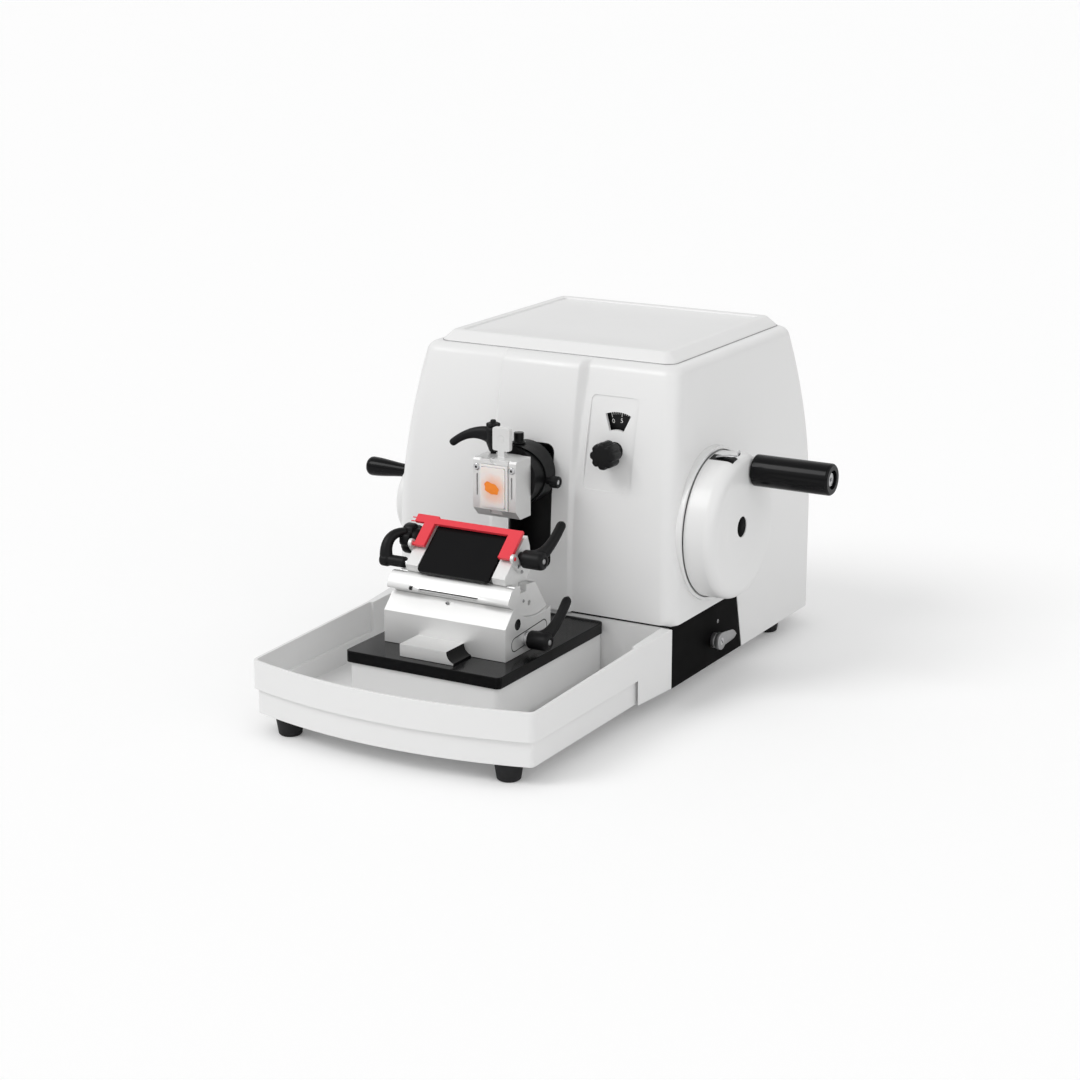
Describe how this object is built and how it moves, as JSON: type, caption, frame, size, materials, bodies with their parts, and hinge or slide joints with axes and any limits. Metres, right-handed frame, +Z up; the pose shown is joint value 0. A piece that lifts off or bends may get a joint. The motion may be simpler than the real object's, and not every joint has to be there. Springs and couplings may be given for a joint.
{
  "type": "rotary microtome",
  "caption": "Bench rotary microtome: leaning white housing with a handwheel drives a specimen head past a clamped blade above a slide-out waste tray.",
  "frame": {"origin": "centre of the overall footprint at bench level, under the feet", "axes": "+X towards the large handwheel, -Y towards the operator, +Z up"},
  "size_m": [0.4638, 0.566, 0.3113],
  "materials": {
    "white_paint": "satin white paint",
    "tray_white": "satin white moulded plastic",
    "black_plastic": "fine-grained matte black",
    "gloss_black": "polished black",
    "black_paint": "smooth black paint",
    "satin_aluminium": "satin machined aluminium",
    "steel": "ground steel",
    "brass": "machined brass",
    "cast_iron": "grey enamelled casting",
    "rubber": "black rubber",
    "dial_black": "matte black with light graduations",
    "cassette_plastic": "milky plastic",
    "wax": "wax with embedded tissue",
    "blade_steel": "polished steel",
    "red_plastic": "coral red plastic"
  },
  "bodies": {
    "base": {"base_casting": "white_paint", "side_panel_right": "black_plastic", "side_panel_left": "black_plastic", "feet": "rubber", "pedestal": "white_paint", "stage_plate": "black_paint", "housing_cover": "white_paint", "top_lid": "white_paint", "slot_liner": "black_plastic", "wheel_collar": "white_paint", "coarse_collar": "white_paint", "main_frame": "cast_iron", "guide_rails": "steel", "shaft_bearing": "cast_iron", "shaft_bushes": "brass", "coarse_bearing": "cast_iron", "dial_bearing": "cast_iron"},
    "tray": {"waste_tray": "tray_white"},
    "wheel": {"handwheel": "white_paint", "main_shaft": "steel", "crank_disc": "cast_iron", "handle_pin": "steel"},
    "handle": {"handle_grip": "gloss_black"},
    "lock": {"wheel_lock": "steel"},
    "yoke_block": {"crank_block": "brass"},
    "head": {"vertical_slide": "cast_iron", "dust_shield": "black_plastic", "screw_bearing": "brass"},
    "arm": {"specimen_arm": "steel", "feed_nut": "brass", "drum": "black_plastic"},
    "screw": {"feed_screw": "steel", "ratchet_wheel": "steel"},
    "pawl": {"pawl": "steel"},
    "dial": {"thickness_knob": "black_plastic", "thickness_dial": "dial_black"},
    "coarse": {"coarse_wheel": "white_paint", "coarse_shaft": "steel"},
    "coarse_grip": {"coarse_handle": "gloss_black"},
    "side_adjuster": {"side_screw": "black_plastic"},
    "top_adjuster": {"top_screw": "black_plastic"},
    "cradle": {"tilt_cradle": "black_plastic"},
    "clamp": {"clamp_block": "satin_aluminium", "clamp_screws": "steel", "cassette": "cassette_plastic", "specimen_block": "wax"},
    "jaw": {"clamp_jaw": "satin_aluminium"},
    "jaw_lever": {"clamp_lever": "black_plastic"},
    "holder": {"holder_base": "satin_aluminium"},
    "holder_lever": {"base_lever": "black_plastic"},
    "tilt_segment": {"segment": "satin_aluminium", "bumper_bar": "satin_aluminium"},
    "carrier": {"blade_carrier": "satin_aluminium", "blade": "blade_steel"},
    "plate": {"pressure_plate": "black_paint"},
    "plate_lever": {"blade_lever": "black_plastic"},
    "guard": {"blade_guard": "red_plastic"},
    "side_knob": {"lateral_knob": "black_plastic"},
    "side_lever": {"lateral_lever": "black_plastic"},
    "brake": {"brake_lever": "satin_aluminium"}
  },
  "joints": [
    {"name": "tray_slide", "type": "slide", "parent": "base", "child": "tray", "axis": [0, -1, 0], "range_m": [0, 0.2]},
    {"name": "wheel_spin", "type": "hinge", "parent": "base", "child": "wheel", "pos_m": [0.1431, 0.0548, 0.1527], "axis": [1, 0, 0], "continuous": true},
    {"name": "handle_spin", "type": "hinge", "parent": "wheel", "child": "handle", "pos_m": [0.1931, 0.07351, 0.20197], "axis": [1, 0, 0], "continuous": true},
    {"name": "lock_slide", "type": "slide", "parent": "wheel", "child": "lock", "axis": [1, 0, 0], "range_m": [0, 0.003]},
    {"name": "yoke_block_spin", "type": "hinge", "parent": "wheel", "child": "yoke_block", "pos_m": [0.0221, 0.0548, 0.1827], "axis": [1, 0, 0], "continuous": true},
    {"name": "head_stroke", "type": "slide", "parent": "base", "child": "head", "axis": [0, 0, 1], "range_m": [-0.06, 0]},
    {"name": "feed", "type": "slide", "parent": "head", "child": "arm", "axis": [0, -1, 0], "range_m": [0, 0.022]},
    {"name": "screw_turn", "type": "hinge", "parent": "head", "child": "screw", "pos_m": [-0.0219, 0.136, 0.202], "axis": [0, 1, 0], "range_deg": [0, 3960]},
    {"name": "pawl_swing", "type": "hinge", "parent": "head", "child": "pawl", "pos_m": [0.0001, 0.136, 0.236], "axis": [0, 1, 0], "range_deg": [0, 15]},
    {"name": "dial_turn", "type": "hinge", "parent": "base", "child": "dial", "pos_m": [0.0577, -0.024, 0.225], "axis": [0, -1, 0], "range_deg": [0, 300]},
    {"name": "coarse_turn", "type": "hinge", "parent": "base", "child": "coarse", "pos_m": [-0.1719, 0.033, 0.143], "axis": [1, 0, 0], "range_deg": [0, 3960]},
    {"name": "coarse_handle_spin", "type": "hinge", "parent": "coarse", "child": "coarse_grip", "pos_m": [-0.2069, 0.02942, 0.16845], "axis": [1, 0, 0], "continuous": true},
    {"name": "side_adjust", "type": "hinge", "parent": "arm", "child": "side_adjuster", "pos_m": [0.0121, -0.0415, 0.198], "axis": [1, 0, 0], "range_deg": [-730, 730]},
    {"name": "top_adjust", "type": "hinge", "parent": "arm", "child": "top_adjuster", "pos_m": [-0.0219, -0.044, 0.238], "axis": [0, 0, 1], "range_deg": [-730, 730]},
    {"name": "tilt_up_down", "type": "hinge", "parent": "arm", "child": "cradle", "pos_m": [-0.0219, -0.089, 0.202], "axis": [1, 0, 0], "range_deg": [-8, 8]},
    {"name": "tilt_side", "type": "hinge", "parent": "cradle", "child": "clamp", "pos_m": [-0.0219, -0.089, 0.202], "axis": [0, 0, 1], "range_deg": [-8, 8]},
    {"name": "jaw_lever_turn", "type": "hinge", "parent": "clamp", "child": "jaw_lever", "pos_m": [-0.0359, -0.065, 0.238], "axis": [0, 0, 1], "range_deg": [0, 50]},
    {"name": "jaw_open", "type": "slide", "parent": "clamp", "child": "jaw", "axis": [0, 0, 1], "range_m": [0, 0.003]},
    {"name": "holder_slide", "type": "slide", "parent": "base", "child": "holder", "axis": [0, -1, 0], "range_m": [-0.002, 0.009]},
    {"name": "holder_lever_turn", "type": "hinge", "parent": "holder", "child": "holder_lever", "pos_m": [0.0531, -0.137, 0.0824], "axis": [1, 0, 0], "range_deg": [0, 60]},
    {"name": "clearance_tilt", "type": "hinge", "parent": "holder", "child": "tilt_segment", "pos_m": [-0.0219, -0.1144, 0.1691], "axis": [1, 0, 0], "range_deg": [-5, 4]},
    {"name": "lateral_slide", "type": "slide", "parent": "tilt_segment", "child": "carrier", "axis": [1, 0, 0], "range_m": [-0.012, 0.012]},
    {"name": "side_knob_turn", "type": "hinge", "parent": "carrier", "child": "side_knob", "pos_m": [-0.0819, -0.122, 0.152], "axis": [1, 0, 0], "range_deg": [-1090, 1090]},
    {"name": "side_lever_turn", "type": "hinge", "parent": "carrier", "child": "side_lever", "pos_m": [-0.0869, -0.1486, 0.1374], "axis": [1, 0, 0], "range_deg": [0, 40]},
    {"name": "plate_lever_turn", "type": "hinge", "parent": "carrier", "child": "plate_lever", "pos_m": [0.0421, -0.128, 0.151], "axis": [1, 0, 0], "range_deg": [0, 80]},
    {"name": "plate_open", "type": "hinge", "parent": "carrier", "child": "plate", "pos_m": [-0.0219, -0.14845, 0.1366], "axis": [1, 0, 0], "range_deg": [0, 1.2]},
    {"name": "guard_flip", "type": "hinge", "parent": "carrier", "child": "guard", "pos_m": [-0.0219, -0.14219, 0.15391], "axis": [1, 0, 0], "range_deg": [0, 110]},
    {"name": "brake_turn", "type": "hinge", "parent": "base", "child": "brake", "pos_m": [0.1281, 0.0595, 0.04], "axis": [1, 0, 0], "range_deg": [0, 45]}
  ],
  "couplings": [
    {"joint": "yoke_block_spin", "follows": "wheel_spin", "ratio": -1},
    {"joint": "feed", "follows": "coarse_turn", "m_per_rad": 0.0003183},
    {"joint": "screw_turn", "follows": "coarse_turn", "ratio": 1},
    {"joint": "side_adjust", "follows": "tilt_up_down", "ratio": 90},
    {"joint": "top_adjust", "follows": "tilt_side", "ratio": 90},
    {"joint": "jaw_open", "follows": "jaw_lever_turn", "m_per_rad": 0.0034},
    {"joint": "side_knob_turn", "follows": "lateral_slide", "rad_per_m": 1570.8},
    {"joint": "plate_open", "follows": "plate_lever_turn", "ratio": 0.015}
  ]
}
